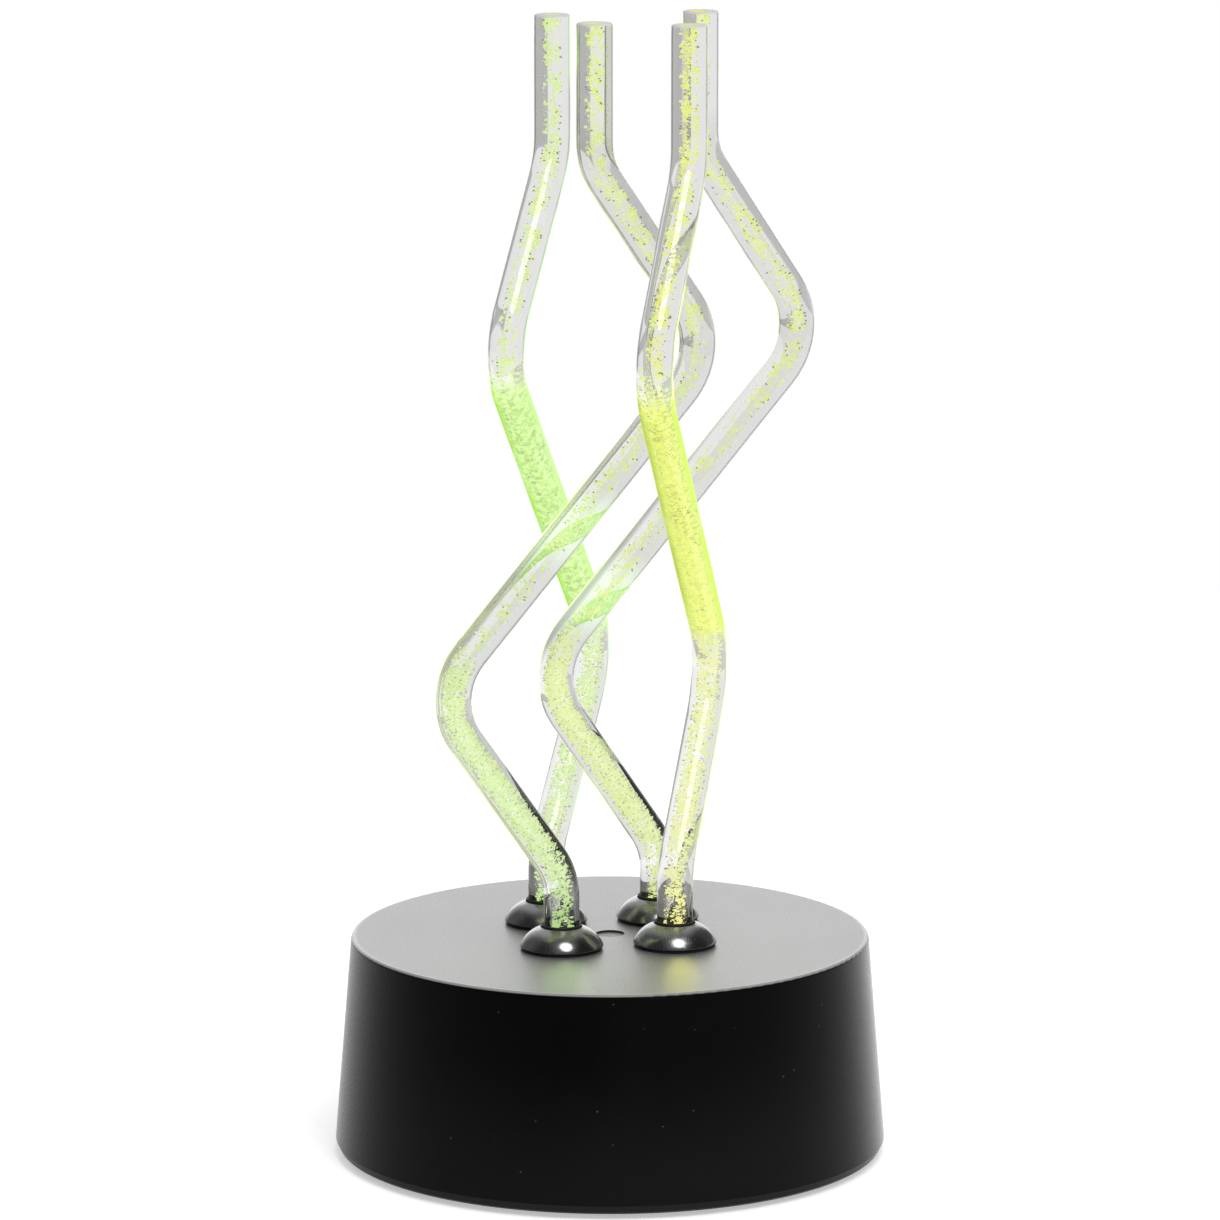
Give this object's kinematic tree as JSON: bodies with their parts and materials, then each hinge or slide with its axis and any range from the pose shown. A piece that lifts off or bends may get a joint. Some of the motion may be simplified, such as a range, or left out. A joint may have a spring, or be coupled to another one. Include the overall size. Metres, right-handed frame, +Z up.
{
  "type": "table lamp",
  "caption": "Table lamp with bent clear bubble rods in domed bezels on a tapered round base, lit by LEDs inside, with a rear rocker switch and a battery door below.",
  "frame": {"origin": "centre of the base on the plane of the feet", "axes": "+Z up along the rods' upright ends, -Y to the front, +Y to the switch"},
  "size_m": [0.15, 0.15, 0.3105],
  "materials": {
    "base_plastic": "black, fine satin moulding",
    "cover_plastic": "black, smoother edge",
    "black_nickel": "polished black nickel plate",
    "black_rubber": "matte black",
    "bubble_acrylic": "clear cast acrylic with a core of small bubbles",
    "led_lens": "clear epoxy lens, lit green",
    "board": "solder mask",
    "chip": "moulded epoxy",
    "resistor": "glazed chip",
    "capacitor_can": "bare can",
    "switch_plastic": "polished black",
    "brass_blades": "tinned",
    "nickel": "nickel plated",
    "cell_jacket": "plain shrink jacket",
    "red_wire": "PVC",
    "black_wire": "PVC"
  },
  "bodies": {
    "lamp": {"base_cover": "cover_plastic", "base_shell": "base_plastic", "battery_bridges": "nickel", "battery_cell_front": "cell_jacket", "battery_cell_middle": "cell_jacket", "battery_cell_rear": "cell_jacket", "battery_contact_negative": "nickel", "battery_contact_positive": "nickel", "bezel_front_left": "black_nickel", "bezel_front_right": "black_nickel", "bezel_nuts": "nickel", "bezel_rear_left": "black_nickel", "bezel_rear_right": "black_nickel", "bezel_washers": "black_rubber", "board_capacitor": "capacitor_can", "board_resistors": "resistor", "board_screws": "nickel", "controller_chip": "chip", "cover_screws": "nickel", "led_board": "board", "led_front_left": "led_lens", "led_front_right": "led_lens", "led_rear_left": "led_lens", "led_rear_right": "led_lens", "negative_lead": "black_wire", "positive_lead": "red_wire", "rod_front_left": "bubble_acrylic", "rod_front_right": "bubble_acrylic", "rod_rear_left": "bubble_acrylic", "rod_rear_right": "bubble_acrylic", "rod_seal_front_left": "black_rubber", "rod_seal_front_right": "black_rubber", "rod_seal_rear_left": "black_rubber", "rod_seal_rear_right": "black_rubber", "rubber_feet": "black_rubber", "switch_housing": "switch_plastic", "switch_terminals": "brass_blades", "switched_lead": "red_wire"},
    "rocker": {"switch_rocker": "switch_plastic"},
    "door": {"battery_door": "cover_plastic"}
  },
  "joints": [
    {"name": "rocker_tilt", "type": "hinge", "parent": "lamp", "child": "rocker", "pos_m": [0, 0.07053, 0.03195], "axis": [1, 0, 0], "range_deg": [-22, 0]},
    {"name": "door_swing", "type": "hinge", "parent": "lamp", "child": "door", "pos_m": [0, -0.023, 0.0025], "axis": [1, 0, 0], "range_deg": [-75, 0]}
  ]
}
